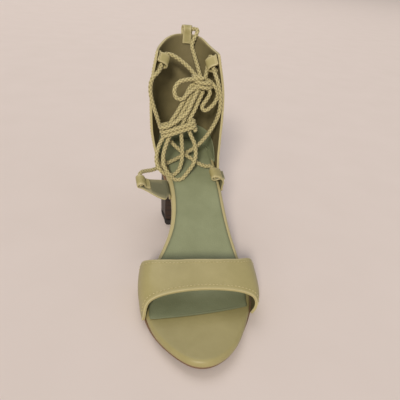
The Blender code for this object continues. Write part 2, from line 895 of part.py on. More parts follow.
def make_ear_loop(name, side):
    """Strip sewn aslant inside the counter by its front edge, bowed inwards like a belt loop."""
    middle, height, width = side * EAR_LOOP["place"], EAR_LOOP["height"], EAR_LOOP["width"]
    span, reach, foot = EAR_LOOP["span"], EAR_LOOP["reach"], EAR_LOOP["foot"]
    lean = math.radians(EAR_LOOP["lean"])
    off = WALL + GAP + LOOP_WALL / 2
    low, _, high = places_across(middle, wall_share(middle, height), 1.0)
    turns = [(span + foot, 0.0), (span + foot / 2, 0.0)]
    for i in range(BOW_STEPS + 1):
        a = math.pi / 2 - math.pi * i / BOW_STEPS
        turns.append((span * math.sin(a), reach * math.cos(a)))
    turns += [(-span - foot / 2, 0.0), (-span - foot, 0.0)]
    columns = []
    for across in (-width / 2, 0.0, width / 2):
        column = []
        for spread, inward in turns:
            ahead = spread * math.sin(lean) + across * math.cos(lean)
            rise = spread * math.cos(lean) - across * math.sin(lean)
            at = middle + side * ahead * (high - low)
            here, _, out = wall_frame(at, wall_share(at, height + rise))
            column.append(here - out * (off + inward))
        columns.append(column)
    return shell(name, list(zip(*columns)), LOOP_WALL, 0.0, "strap_leather")


def tab_line(side):
    """Middle line of a tab's strip, and the direction of its width along the sole edge."""
    station, edge_side = TAB_STATION[side], 0 if side == "medial" else 1
    sideways = (bed_side(edge_side, station + 1) - bed_side(edge_side, station - 1)) / 2
    edge = Vector((sideways, 1.0, bed_slope(station))).normalized()
    away = Vector((2.0 * edge_side - 1.0, 0.0, 0.0))
    out = (away - edge * away.dot(edge)).normalized()
    up = out.cross(edge) * (2.0 * edge_side - 1.0)
    at = Vector((bed_side(edge_side, station), station, bed_bottom(0.0, station)))
    at, heading = at + out * (GAP + TAB_WALL / 2), 0.0
    line = [at]
    for length, turn in zip(*tab_folds[side].values()):
        count = max(2, round(length / TAB_STEP))
        for _ in range(count):
            heading += math.radians(turn) / count
            at = at + (up * math.cos(heading) + out * math.sin(heading)) * (length / count)
            line.append(at)
    return line, edge


def make_tab(side):
    """Tab from the footbed's side, its end folded back into a loop."""
    line, edge = tab_line(side)
    narrowed = TAB_TAPER * sum(tab_folds[side]["length"])
    swell, swell_from, widest, swell_to = TAB_SWELL[side]
    grid, run = [], 0.0
    for before, here in zip([line[0], *line], line):
        run += (here - before).length
        half = (TAB_ROOT + (TAB_END - TAB_ROOT) * min(1.0, run / narrowed)) / 2
        share = np.interp(run, (swell_from, widest, swell_to), (0.0, 1.0, 0.0))
        front = half + swell * math.sin(math.pi / 2 * share) ** 2
        grid.append([here + edge * reach for reach in (-front, 0.0, half)])
    return shell(side + "_tab", grid, TAB_WALL, 0.0, "strap_leather")


def cord_line(points, closed=False):
    """Points a step apart on the smooth curve through a cord's route."""
    fine = smooth_line(points, CORD_SPAN, closed)
    if closed:
        fine.append(fine[0])
    reach = [0.0]
    for a, b in zip(fine, fine[1:]):
        reach.append(reach[-1] + (b - a).length)
    count = round(reach[-1] / CORD_STEP)
    at = np.linspace(0.0, reach[-1], count + 1)[: -1 if closed else None]
    return np.transpose([np.interp(at, reach, [p[i] for p in fine]) for i in range(3)])


def cord_tube(name, line, closed=False):
    """A round cord along a line of points."""
    curve = bpy.data.curves.new(name, "CURVE")
    curve.dimensions = "3D"
    curve.bevel_depth = CORD / 2 * MM
    curve.bevel_resolution = 2
    curve.use_fill_caps = not closed
    spline = curve.splines.new("POLY")
    spline.points.add(len(line) - 1)
    for point, at in zip(spline.points, line):
        point.co = (*place(*at), 1.0)
    spline.use_cyclic_u = closed
    curve.materials.append(materials["lace_braid"])
    cord = bpy.data.objects.new(name, curve)
    sandal.objects.link(cord)
    return cord


def as_solid(cord, name):
    """The cord as a mesh with its caps joined to it, in place of the curve."""
    graph = bpy.context.evaluated_depsgraph_get()
    mesh = bpy.data.meshes.new_from_object(cord.evaluated_get(graph))
    bm = bmesh.new()
    bm.from_mesh(mesh)
    bmesh.ops.remove_doubles(bm, verts=bm.verts, dist=GAP * MM / 10)
    bm.to_mesh(mesh)
    bm.free()
    solid = bpy.data.objects.new(name, mesh)
    solid.matrix_world = cord.matrix_world
    bpy.data.objects.remove(cord, do_unlink=True)
    return solid


def make_lace():
    """The two runs of the lace, joined where they cross."""
    medial, lateral = (
        as_solid(cord_tube("run", cord_line(list(zip(*rows.values())))), name)
        for rows, name in ((lace_runs["medial"], "lace"), (lace_runs["lateral"], "lace_crossing"))
    )
    sandal.objects.link(medial)
    cutters.objects.link(lateral)
    lateral.hide_render = True
    lateral.display_type = "WIRE"
    join = medial.modifiers.new("crossing", "BOOLEAN")
    join.operation = "UNION"
    join.object = lateral
    return medial


def make_wrap():
    """The lace's turn round the strands of the bow."""
    middle, back = Vector(WRAP["middle"]), Vector((0.0, 1.0, 0.0))
    across = Vector(WRAP["across"]).normalized()
    half, deep = WRAP["half"], WRAP["deep"]
    ring = []
    for end in (1.0, -1.0):
        for i in range(WRAP["steps"] + 1):
            a = math.pi * (i / WRAP["steps"] - 0.5)
            out, round_it = half - deep + deep * math.cos(a), deep * math.sin(a)
            ring.append(middle + end * (across * out + back * round_it))
    return cord_tube("lace_wrap", cord_line(ring, closed=True), closed=True)


def make_knot():
    """The knot's rounded outer shape."""
    bm = bmesh.new()
    bmesh.ops.create_uvsphere(bm, u_segments=KNOT["around"], v_segments=KNOT["rows"], radius=1.0)
    for v in bm.verts:
        v.co = place(*(m + h * c for m, h, c in zip(KNOT["middle"], KNOT["half"], v.co)))
    return finish("lace_knot", bm, "lace_braid")


def make_material(name, colour, roughness):
    made = bpy.data.materials.new(name)
    made.use_nodes = True
    shader = made.node_tree.nodes["Principled BSDF"]
    shader.inputs["Base Color"].default_value = (*colour, 1.0)
    shader.inputs["Roughness"].default_value = roughness
    shader.inputs["Metallic"].default_value = 0.0
    return made


for old in list(bpy.data.objects):
    bpy.data.objects.remove(old, do_unlink=True)

materials = {name: make_material(name, *look) for name, look in COLOURS.items()}
sandal = bpy.data.collections.new("high_heel_sandal")
cutters = bpy.data.collections.new("cutters")
for group in (sandal, cutters):
    bpy.context.scene.collection.children.link(group)

TIP_SHARE = TOP_PIECE / outsole_bottom(0.0, HEEL_MIDDLE)
make_outsole()
make_footbed()
make_sock()
make_heel("heel_top_piece", 0.0, TIP_SHARE, 2, "tip_rubber", lambda s: 0.0, lambda s: TOP_PIECE)
make_heel(
    "heel_block",
    TIP_SHARE,
    1.0,
    HEEL_LEVELS,
    "heel_stack",
    lambda s: TOP_PIECE + GAP,
    lambda s: outsole_bottom(0.0, s) - GAP * steepness(s),
)
make_strap()
make_counter()
make_back_loop()
make_ear_loop("medial_ear_loop", -1.0)
make_ear_loop("lateral_ear_loop", 1.0)
make_tab("medial")
make_tab("lateral")
make_lace()
make_knot()
make_wrap()
for name, rows in lace_loops.items():
    cord_tube(name, cord_line(list(zip(*rows.values()))))
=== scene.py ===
import math

import bmesh
import bpy
import numpy as np
from mathutils import Euler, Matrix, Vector
from mathutils.bvhtree import BVHTree
from mathutils.kdtree import KDTree


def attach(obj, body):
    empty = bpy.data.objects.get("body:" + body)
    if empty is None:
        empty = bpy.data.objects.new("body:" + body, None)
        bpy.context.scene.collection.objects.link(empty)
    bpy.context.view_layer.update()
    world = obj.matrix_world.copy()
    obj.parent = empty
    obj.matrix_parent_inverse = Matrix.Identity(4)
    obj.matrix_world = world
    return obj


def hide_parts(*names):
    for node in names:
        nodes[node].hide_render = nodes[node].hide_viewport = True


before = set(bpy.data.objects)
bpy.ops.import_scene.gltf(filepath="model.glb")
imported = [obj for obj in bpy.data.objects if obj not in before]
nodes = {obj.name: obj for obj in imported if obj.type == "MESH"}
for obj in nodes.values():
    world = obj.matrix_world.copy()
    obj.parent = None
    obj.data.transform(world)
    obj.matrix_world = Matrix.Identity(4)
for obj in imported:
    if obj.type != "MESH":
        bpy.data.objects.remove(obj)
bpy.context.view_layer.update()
mm = 0.001
middleStation = 112.5


def shoePoint(x, station, height):
    return Vector((x, station - middleStation, height)) * mm  # across, from the toe tip, above the floor


def hexColour(code):
    channels = [int(code[i:i + 2], 16) / 255 for i in (0, 2, 4)]
    linear = [c / 12.92 if c <= 0.04045 else ((c + 0.055) / 1.055) ** 2.4 for c in channels]
    return (*linear, 1.0)


def addNode(tree, kind, inputs=None, **settings):
    node = tree.nodes.new(kind)
    for name, value in settings.items():
        setattr(node, name, value)
    for key, value in (inputs or {}).items():
        if isinstance(value, bpy.types.NodeSocket):
            tree.links.new(value, node.inputs[key])
        else:
            node.inputs[key].default_value = value
    return node


def newMaterial(name, roughness):
    material = bpy.data.materials.new(name)
    material.use_nodes = True
    tree = material.node_tree
    shader = tree.nodes["Principled BSDF"]
    shader.inputs["Roughness"].default_value = roughness
    place = addNode(tree, "ShaderNodeTexCoord").outputs["Object"]
    return material, tree, shader, place


def meshObject(name, points, faces, smooth=True):
    mesh = bpy.data.meshes.new(name)
    mesh.from_pydata([tuple(p) for p in points], [], faces)
    mesh.update()
    if smooth:
        mesh.polygons.foreach_set("use_smooth", [True] * len(mesh.polygons))
    piece = bpy.data.objects.new(name, mesh)
    bpy.context.collection.objects.link(piece)
    return piece


# Camera where the photograph was taken from, turned to the one shoe
cameraView = {
    "place": (-0.0465, -0.2929, 0.223), "tilt": 27.43, "slant": 0.037,  # as the photograph was taken
    "aim": (0.0077, 0.03, 0.0437), "lens": 39.5,
}


def makeCamera():
    camera = bpy.data.objects.new("photoCamera", bpy.data.cameras.new("photoCamera"))
    bpy.context.collection.objects.link(camera)
    camera.data.lens = cameraView["lens"]
    camera.data.sensor_width = 36.0
    camera.data.clip_start = 0.01
    camera.location = cameraView["place"]
    taken = Euler((math.radians(90 - cameraView["tilt"]), 0, math.atan(cameraView["slant"]))).to_quaternion()
    sight = Vector(cameraView["aim"]) - Vector(cameraView["place"])
    swing = (taken @ Vector((0, 0, -1))).rotation_difference(sight)
    camera.rotation_euler = (swing @ taken).to_euler()
    bpy.context.scene.camera = camera


makeCamera()
print("camera set")


# Braided cotton lace: plaited yarns leave raised diamonds, and painted shade darkens the gaps between them,
# drawn coarse enough to show
laceYarn = {
    "lit": "cac08f", "shade": "ada373", "gapShade": "655d3b", "roughness": 0.78, "sheen": 0.15, "patchMm": 18,
    "gapShadeFrom": 0.06, "gapShadeTo": 0.62,  # share of the yarn's height where the gap's colour fades out
    "fibreMm": 0.5, "fibreBump": 0.25, "fibreDeep": 0.2,
}


def braidedCotton():
    material, tree, shader, place = newMaterial("braidedCotton", laceYarn["roughness"])
    patches = addNode(tree, "ShaderNodeTexNoise", {
        "Vector": place,
        "Scale": 1000 / laceYarn["patchMm"],
        "Detail": 3.0,
    })
    yarn = addNode(tree, "ShaderNodeMix", {
        0: patches.outputs["Fac"],
        6: hexColour(laceYarn["shade"]),
        7: hexColour(laceYarn["lit"]),
    }, data_type="RGBA")
    lift = addNode(tree, "ShaderNodeAttribute", attribute_name="lift")
    ramp = addNode(tree, "ShaderNodeMapRange", {
        0: lift.outputs["Fac"],
        1: laceYarn["gapShadeFrom"],
        2: laceYarn["gapShadeTo"],
    })
    # painted shade: the low parts of the plait are mixed toward the dark gap colour
    colour = addNode(tree, "ShaderNodeMix", {
        0: ramp.outputs[0],
        6: hexColour(laceYarn["gapShade"]),
        7: yarn.outputs[2],
    }, data_type="RGBA")
    tree.links.new(colour.outputs[2], shader.inputs["Base Color"])
    fibre = addNode(tree, "ShaderNodeTexNoise", {
        "Vector": place,
        "Scale": 1000 / laceYarn["fibreMm"],
        "Detail": 2.0,
    })
    bump = addNode(tree, "ShaderNodeBump", {
        "Strength": laceYarn["fibreBump"],
        "Distance": laceYarn["fibreDeep"] * mm,
        "Height": fibre.outputs["Fac"],
    })
    tree.links.new(bump.outputs["Normal"], shader.inputs["Normal"])
    shader.inputs["Sheen Weight"].default_value = laceYarn["sheen"]
    return material


# Lace routes: across, from the toe tip and above the floor, in mm
lace = {
    "diameter": 3.7, "yarns": 3, "pick": 3.5, "relief": 0.55, "around": 30, "step": 0.4,
    "yarnRound": 0.7, "yarnLow": 0.45, "yarnRise": 0.55,  # how full a yarn is across, and how it dips along
    "tip": 0.8, "tipShare": 0.35, "guideStep": 3,  # the ends close over a short length
}
laceRoutes = {
    "laceMedialRun": [
        (7.0, 188.4, 131.5), (4.6, 189.4, 134.4), (1.9, 190.5, 136.8), (-5.0, 194.2, 143.0),
        (-13.0, 196.4, 148.4), (-19.5, 197.0, 151.2), (-24.4, 195.0, 151.4), (-26.8, 190.2, 147.2),
        (-28.2, 185.2, 142.4), (-30.4, 181.2, 139.6), (-33.6, 179.0, 137.0), (-35.6, 178.5, 132.0),
        (-36.0, 178.3, 127.0), (-35.2, 178.0, 120.5), (-32.5, 178.0, 111.0), (-29.6, 179.0, 103.0),
        (-26.6, 181.2, 94.5), (-18.4, 182.6, 82.0), (-4.9, 179.0, 70.6), (3.0, 177.0, 66.0),
        (9.4, 173.0, 63.4), (14.3, 169.2, 63.2), (17.7, 166.2, 64.7), (19.4, 161.8, 63.6),
        (20.2, 156.9, 61.3), (20.8, 152.8, 59.4),
    ],
    "laceLateralRun": [
        (8.6, 188.6, 132.0), (9.8, 190.2, 134.6), (10.8, 191.6, 137.5), (12.2, 196.4, 143.0),
        (13.0, 198.8, 147.6), (13.4, 199.0, 149.5), (13.8, 198.0, 151.2), (14.2, 196.3, 151.8),
        (14.7, 194.4, 151.0), (15.5, 190.8, 147.4),
        (16.6, 185.6, 142.2), (17.6, 181.6, 139.4), (19.2, 178.8, 135.4), (20.8, 178.0, 130.0),
        (22.8, 178.0, 122.0), (23.2, 178.4, 112.0), (21.9, 179.4, 104.0), (18.9, 180.8, 95.4),
        (13.0, 182.2, 84.2), (6.6, 182.6, 76.4), (-4.9, 182.6, 67.8), (-11.5, 179.2, 64.9),
        (-19.5, 174.8, 62.4), (-26.5, 169.8, 60.6), (-33.2, 163.4, 60.8), (-38.6, 157.4, 62.6),
        (-42.4, 151.8, 63.8), (-43.7, 146.5, 62.5), (-43.0, 142.4, 60.2), (-42.3, 138.4, 58.0),
    ],
    "laceBowA": [
        (6.0, 187.6, 132.4), (3.2, 187.2, 132.2), (-0.4, 186.4, 130.4), (-4.2, 184.2, 125.4),
        (-8.3, 180.4, 116.7), (-13.6, 176.8, 107.6), (-18.4, 174.8, 99.8), (-20.9, 174.5, 91.4),
        (-24.4, 173.8, 85.8), (-27.2, 172.2, 80.2), (-28.9, 169.4, 74.4), (-29.3, 165.6, 68.4),
        (-27.1, 163.2, 62.8), (-20.4, 162.6, 57.4), (-14.5, 163.0, 57.0), (-10.4, 164.8, 59.8),
        (-7.7, 167.8, 66.0), (-7.0, 170.8, 73.6), (-7.8, 173.6, 83.0), (-8.6, 174.5, 92.5),
        (-7.0, 175.2, 102.5), (-1.8, 179.6, 112.4), (1.4, 182.8, 119.3), (5.1, 186.3, 125.5),
        (6.8, 187.8, 129.0), (7.4, 188.2, 131.6),
    ],
    "laceBowB": [
        (6.6, 187.6, 132.8), (4.6, 187.2, 130.6), (2.2, 186.3, 127.6), (-1.6, 183.2, 121.8),
        (-5.0, 180.0, 114.6), (-9.4, 177.0, 107.2), (-13.8, 174.8, 99.4), (-16.6, 174.5, 92.6),
        (-19.4, 173.0, 86.4), (-22.0, 169.6, 80.2), (-23.8, 165.2, 73.2), (-23.4, 161.2, 67.2),
        (-19.8, 159.0, 61.2), (-13.2, 158.6, 54.8), (-7.4, 159.2, 55.2), (-2.5, 161.6, 60.2),
        (2.5, 165.4, 66.6), (4.5, 169.0, 73.6), (3.2, 172.2, 82.6), (-1.6, 174.5, 92.7),
        (-2.2, 175.2, 102.8), (1.8, 179.4, 110.4), (5.0, 182.8, 117.2), (8.5, 186.6, 124.2),
        (9.0, 187.8, 128.0), (8.4, 188.2, 131.0),
    ],
    "laceSideLoop": [
        (7.4, 186.6, 133.2), (5.0, 185.2, 134.6),
        (2.2, 183.6, 135.4), (-7.1, 180.6, 135.1), (-13.0, 178.6, 133.2), (-16.3, 177.4, 127.6),
        (-14.6, 177.0, 121.1), (-9.5, 177.6, 119.8), (-5.1, 179.2, 124.1), (3.0, 182.6, 130.0),
        (6.6, 185.2, 131.8),
    ],
    "laceLeafLoop": [
        (10.0, 188.0, 132.4), (15.4, 186.8, 131.8), (19.3, 184.4, 128.7), (21.1, 183.0, 122.6),
        (18.6, 182.0, 116.2), (15.0, 181.6, 112.2), (12.3, 181.2, 110.2), (10.0, 181.1, 110.2),
        (8.4, 181.3, 111.8), (8.7, 181.7, 114.2), (11.6, 182.8, 118.6), (14.4, 184.6, 124.0),
        (13.4, 186.2, 127.6),
        (11.4, 187.6, 130.4),
    ],
    "laceBackTie": [
        (6.8, 188.6, 131.6), (6.4, 190.6, 134.4), (5.8, 192.8, 136.9), (3.5, 200.0, 144.0),
        (1.1, 207.2, 151.0), (-0.4, 212.2, 156.2), (0.3, 214.4, 160.0), (1.9, 215.0, 163.6),
        (3.5, 216.2, 166.8), (3.9, 218.4, 169.0), (2.2, 220.4, 169.4), (-0.8, 221.0, 169.0),
        (-4.8, 221.1, 168.7), (-8.6, 221.1, 168.6),
    ],
}
laceStands = {
    "laceMedialRun": "lace", "laceLateralRun": "lace", "laceBowA": "lace_bow_a", "laceBowB": "lace_bow_b",
    "laceSideLoop": "lace_side_loop", "laceLeafLoop": "lace_leaf_loop", "laceBackTie": "lace_back_tie",
    "laceKnot": "lace_knot", "laceWrap": "lace_wrap",
}
knotTurns = {
    "middle": (7.5, 187.4, 131.6), "across": 7.8, "deep": 4.7, "rise": 3.8, "turns": 2.6, "lean": -0.18,
    "start": 60, "steps": 16,
}
wrapTurns = {
    "middle": (-11.8, 174.6, 95.6), "across": (-0.954, 0.0, -0.30), "up": (-0.30, 0.0, 0.954),
    "half": 14.4, "deep": 4.1, "rise": 3.75, "turns": 2.7, "sway": 0.5, "swayTurns": 2.2,
    "start": 0.7, "steps": 24,
    "lead": [(4.6, 185.6, 129.0), (2.6, 181.6, 124.6), (-1.4, 177.4, 117.0), (-5.2, 174.0, 109.6)],
}


def knotRoute():
    middle = Vector(knotTurns["middle"])
    count = int(knotTurns["steps"] * knotTurns["turns"])
    route = []
    for i in range(count + 1):
        share = i / count
        angle = math.radians(knotTurns["start"]) + 2 * math.pi * knotTurns["turns"] * share
        climb = (share - 0.5) * knotTurns["rise"] * knotTurns["turns"]
        across = knotTurns["across"] * math.cos(angle)
        route.append((
            middle.x + across,
            middle.y + knotTurns["deep"] * math.sin(angle),
            middle.z + climb + knotTurns["lean"] * across,
        ))
    return route


def wrapRoute():
    middle, across, up = (Vector(wrapTurns[key]) for key in ("middle", "across", "up"))
    deep, straight = wrapTurns["deep"], wrapTurns["half"] - wrapTurns["deep"]
    bend = math.pi * deep
    around = 4 * straight + 2 * bend
    count = int(wrapTurns["steps"] * wrapTurns["turns"])
    route = [Vector(point) for point in wrapTurns["lead"]]
    for i in range(count + 1):
        share = i / count
        run = (share * wrapTurns["turns"] * around + straight * wrapTurns["start"]) % around
        half, run = (1, run) if run < around / 2 else (-1, run - around / 2)
        angle = min(max((run - straight) / deep, 0.0), math.pi)
        side = half * (min(run, straight) - max(run - straight - bend, 0.0) + deep * math.sin(angle))
        back = -half * deep * math.cos(angle)
        climb = (0.5 - share) * wrapTurns["rise"] * wrapTurns["turns"]
        climb += wrapTurns["sway"] * math.sin(wrapTurns["swayTurns"] * share * 2 * math.pi) * (1 - share)
        route.append(middle + across * side + up * climb + Vector((0, back, 0)))
    return route


# A smooth curve through all points, at even steps, and its length
spanSteps = 24


def smoothPath(points, step):
    knots = np.array([tuple(p) for p in points], float)
    ends = np.vstack([2 * knots[0] - knots[1], knots, 2 * knots[-1] - knots[-2]])
    fine = []
    for a, b, c, d in zip(ends[:-3], ends[1:-2], ends[2:-1], ends[3:]):
        gaps = [max(np.linalg.norm(q - p) ** 0.5, 1e-6) for p, q in ((a, b), (b, c), (c, d))]
        fromSlope = gaps[1] * ((b - a) / gaps[0] - (c - a) / (gaps[0] + gaps[1]) + (c - b) / gaps[1])
        toSlope = gaps[1] * ((c - b) / gaps[1] - (d - b) / (gaps[1] + gaps[2]) + (d - c) / gaps[2])
        for t in np.linspace(0, 1, spanSteps, endpoint=False):
            fine.append(b * (2 * t**3 - 3 * t**2 + 1) + fromSlope * (t**3 - 2 * t**2 + t)
                        + c * (3 * t**2 - 2 * t**3) + toSlope * (t**3 - t**2))
    fine = np.array(fine + [knots[-1]])
    run = np.concatenate([[0], np.cumsum(np.linalg.norm(np.diff(fine, axis=0), axis=1))])
    count = max(4, int(round(run[-1] / step)))
    marks = np.linspace(0, run[-1], count + 1)
    return np.stack([np.interp(marks, run, fine[:, k]) for k in range(3)], axis=1), run[-1]


# Two sideways directions at each point of a path, carried along it without twist
firstSide = (0.3, 0.2, 0.93)


def turnFrames(path):
    ahead = np.gradient(path, axis=0)
    ahead /= np.linalg.norm(ahead, axis=1)[:, None]
    side = np.cross(ahead[0], firstSide)
    side /= np.linalg.norm(side)
    sides = [side]
    for t in ahead[1:]:
        side = side - t * np.dot(side, t)
        side = side / np.linalg.norm(side)
        sides.append(side)
    sides = np.array(sides)
    return sides, np.cross(ahead, sides)


def plaitLift(around, along):
    left, right = around + along, around - along
    leftShare, rightShare = left - np.floor(left), right - np.floor(right)
    over = (np.floor(left) + np.floor(right)) % 2 == 0
    across = np.where(over, rightShare, leftShare)
    run = np.where(over, leftShare, rightShare)
    dip = lace["yarnLow"] + lace["yarnRise"] * np.sin(np.pi * run)
    return np.sin(np.pi * across) ** lace["yarnRound"] * dip


def braidedCord(name, route, material):
    path, length = smoothPath(route, lace["step"])
    path = path - np.array([0, middleStation, 0])
    sides, fronts = turnFrames(path)
    count = lace["around"]
    angles = np.linspace(0, 2 * np.pi, count, endpoint=False)
    along = np.linspace(0, length, len(path))
    lift = plaitLift(angles[None, :] * lace["yarns"] / (2 * np.pi), along[:, None] / lace["pick"])
    taper = np.clip(np.minimum(along, length - along) / lace["tip"], 0.0, 1.0) ** 0.5
    taper = lace["tipShare"] + (1 - lace["tipShare"]) * taper
    radius = (lace["diameter"] / 2 - lace["relief"] * (1 - lift)) * taper[:, None]
    rings = (path[:, None, :] + sides[:, None, :] * (np.cos(angles)[None, :] * radius)[..., None]
             + fronts[:, None, :] * (np.sin(angles)[None, :] * radius)[..., None])
    points = np.vstack([rings.reshape(-1, 3), path[:1], path[-1:]]) * mm
    faces = []
    for i in range(len(path) - 1):
        for j in range(count):
            k = (j + 1) % count
            faces.append((i * count + j, i * count + k, (i + 1) * count + k, (i + 1) * count + j))
    first, last, rows = len(points) - 2, len(points) - 1, (len(path) - 1) * count
    for j in range(count):
        k = (j + 1) % count
        faces.append((first, k, j))
        faces.append((last, rows + j, rows + k))
    piece = meshObject(name, points, faces)
    shade = piece.data.attributes.new("lift", "FLOAT", "POINT")
    shade.data.foreach_set("value", np.concatenate([lift.ravel(), [0.5, 0.5]]))
    piece.data.materials.append(material)
    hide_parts(laceStands[name])
    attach(piece, "root")
    return length


def makeLace():
    cotton = braidedCotton()
    routes = dict(laceRoutes, laceKnot=knotRoute(), laceWrap=wrapRoute())
    total = 0.0
    for name, route in routes.items():
        length = braidedCord(name, route, cotton)
        total += length
        print(f"{name} {length:.0f} mm")
    print(f"lace made, {total:.0f} mm of cord")


makeLace()


# Smooth cow leather, dyed olive: a tight fine grain under a thin satin finish, paler along worn edges; its
# pale edge colour also paints the highlight on the footbed's rim
strapLeather = {
    "lit": "ada472", "shade": "9a9261", "edge": "c6bc90", "patchMm": 42, "grainMm": 0.9,
    "grain": 0.16, "roughness": 0.46, "coat": 0.12,
}
# Glove-soft sheepskin lining, drum dyed brown-olive: matt, with a faint nap
liningLeather = {
    "lit": "7f7652", "shade": "6a6243", "edge": "978d65", "patchMm": 26, "grainMm": 1.2,
    "grain": 0.20, "roughness": 0.72, "coat": 0.0,
}
# Sage pigskin sock lining: matt, close pored, a little polished where the foot sits; its darker edge colour
# paints a shadow line along the sock's edges
sockLeather = {
    "lit": "8f9777", "shade": "808868", "edge": "5a5f46", "patchMm": 30, "grainMm": 1.4,
    "grain": 0.22, "roughness": 0.62, "coat": 0.03,
}
# The tabs' own backing: the same pigskin, darker and greyer
tabBacking = dict(sockLeather, lit="73735a", shade="65654d", edge="a9a27f")
# Buffed leather sole with a stained edge: brown, dull, with drawn scuffs along the shoe
soleLeather = {
    "lit": "7a5f47", "shade": "5d4633", "edge": "8d7155", "patchMm": 14, "grainMm": 1.0,
    "grain": 0.25, "roughness": 0.58, "coat": 0.05, "scuff": "513e2e", "scuffMm": 3.5,
}
# What the leathers share
leatherMake = {
    "patchFrom": 0.3, "patchTo": 0.7, "polish": 0.07, "polishFrom": 0.25, "polishTo": 0.75, "wearAndLightShare": 0.75,
    "poreWide": 0.25, "poreDeep": 0.2, "coatRoughness": 0.35,
    "scuffStretch": (1.0, 0.22, 1.0), "scuffFrom": 0.52, "scuffTo": 0.7,
}


def leather(name, look):
    material, tree, shader, place = newMaterial(name, look["roughness"])
    patches = addNode(tree, "ShaderNodeTexNoise", {
        "Vector": place, "Scale": 1000 / look["patchMm"], "Detail": 5.0, "Roughness": 0.6})
    spread = addNode(tree, "ShaderNodeMapRange", {
        0: patches.outputs["Fac"], 1: leatherMake["patchFrom"], 2: leatherMake["patchTo"]})
    body = addNode(tree, "ShaderNodeMix", {
        0: spread.outputs[0], 6: hexColour(look["shade"]), 7: hexColour(look["lit"])}, data_type="RGBA")
    pores = addNode(tree, "ShaderNodeTexVoronoi", {
        "Vector": place, "Scale": 1000 / look["grainMm"]}, feature="DISTANCE_TO_EDGE")
    if "scuff" in look:
        drawn = addNode(tree, "ShaderNodeMapping", {
            "Vector": place, "Scale": leatherMake["scuffStretch"]})
        lines = addNode(tree, "ShaderNodeTexNoise", {
            "Vector": drawn.outputs[0], "Scale": 1000 / look["scuffMm"], "Detail": 4.0, "Roughness": 0.7})
        marks = addNode(tree, "ShaderNodeMapRange", {
            0: lines.outputs["Fac"], 1: leatherMake["scuffFrom"], 2: leatherMake["scuffTo"]})
        body = addNode(tree, "ShaderNodeMix", {
            0: marks.outputs[0], 6: body.outputs[2], 7: hexColour(look["scuff"])}, data_type="RGBA")
    # Edge colour mixed in along sharp edges: real wear on most leathers, a painted shadow on the sock, and a
    # painted highlight on the footbed's rim
    wornAndLitEdges = addNode(tree, "ShaderNodeAttribute", attribute_name="edgeWearAndPaintedLight")
    wearAndLightShare = addNode(tree, "ShaderNodeMath", {
        0: wornAndLitEdges.outputs["Fac"], 1: leatherMake["wearAndLightShare"]}, operation="MULTIPLY")
    colour = addNode(tree, "ShaderNodeMix", {
        0: wearAndLightShare.outputs[0], 6: body.outputs[2], 7: hexColour(look["edge"])}, data_type="RGBA")
    tree.links.new(colour.outputs[2], shader.inputs["Base Color"])
    polish = addNode(tree, "ShaderNodeMapRange", {
        0: patches.outputs["Fac"],
        1: leatherMake["polishFrom"],
        2: leatherMake["polishTo"],
        3: look["roughness"] + leatherMake["polish"],
        4: look["roughness"] - leatherMake["polish"],
    })
    tree.links.new(polish.outputs[0], shader.inputs["Roughness"])
    hollow = addNode(tree, "ShaderNodeMapRange", {
        0: pores.outputs["Distance"], 1: 0.0, 2: leatherMake["poreWide"]})
    bump = addNode(tree, "ShaderNodeBump", {
        "Strength": look["grain"], "Distance": leatherMake["poreDeep"] * mm, "Height": hollow.outputs[0]})
    tree.links.new(bump.outputs["Normal"], shader.inputs["Normal"])
    shader.inputs["Coat Weight"].default_value = look["coat"]
    shader.inputs["Coat Roughness"].default_value = leatherMake["coatRoughness"]
    return material


# Stacked heel board, stained dark: thin lifts glued flat, with a dark line at each joint
heelStack = {
    "lit": "342011", "shade": "21140b", "joint": "120b06",
    "roughness": 0.52, "coat": 0.06, "coatRoughness": 0.3,
    "liftMm": 5.5, "jointWide": 0.12, "jointBump": 0.3, "jointDeep": 0.2,
    "streakMm": 6.4, "streakStretch": (1.0, 0.25, 3.0),
}
bandsAtOne = math.pi / 10  # how far apart a wave texture's bands lie at scale 1


def stainedStack():
    material, tree, shader, place = newMaterial("stainedHeelStack", heelStack["roughness"])
    lengthwise = addNode(tree, "ShaderNodeMapping", {
        "Vector": place, "Scale": heelStack["streakStretch"]})
    streaks = addNode(tree, "ShaderNodeTexNoise", {
        "Vector": lengthwise.outputs[0], "Scale": 1000 / heelStack["streakMm"], "Detail": 6.0})
    body = addNode(tree, "ShaderNodeMix", {
        0: streaks.outputs["Fac"],
        6: hexColour(heelStack["shade"]),
        7: hexColour(heelStack["lit"]),
    }, data_type="RGBA")
    lifts = addNode(tree, "ShaderNodeTexWave", {
        "Vector": place, "Scale": 1000 / heelStack["liftMm"] * bandsAtOne, "Distortion": 0.3},
        wave_type="BANDS", bands_direction="Z")
    joint = addNode(tree, "ShaderNodeMapRange", {0: lifts.outputs["Fac"], 1: 0.0, 2: heelStack["jointWide"]})
    colour = addNode(tree, "ShaderNodeMix", {
        0: joint.outputs[0], 6: hexColour(heelStack["joint"]), 7: body.outputs[2]}, data_type="RGBA")
    tree.links.new(colour.outputs[2], shader.inputs["Base Color"])
    bump = addNode(tree, "ShaderNodeBump", {
        "Strength": heelStack["jointBump"],
        "Distance": heelStack["jointDeep"] * mm,
        "Height": joint.outputs[0],
    })
    tree.links.new(bump.outputs["Normal"], shader.inputs["Normal"])
    shader.inputs["Coat Weight"].default_value = heelStack["coat"]
    shader.inputs["Coat Roughness"].default_value = heelStack["coatRoughness"]
    return material


# Moulded rubber tip: near black, dull, with a fine grit from the mould
tipRubber = {
    "lit": "2b2826", "shade": "1d1b1a", "roughness": 0.82, "gritMm": 0.7, "gritBump": 0.3, "gritDeep": 0.1,
}


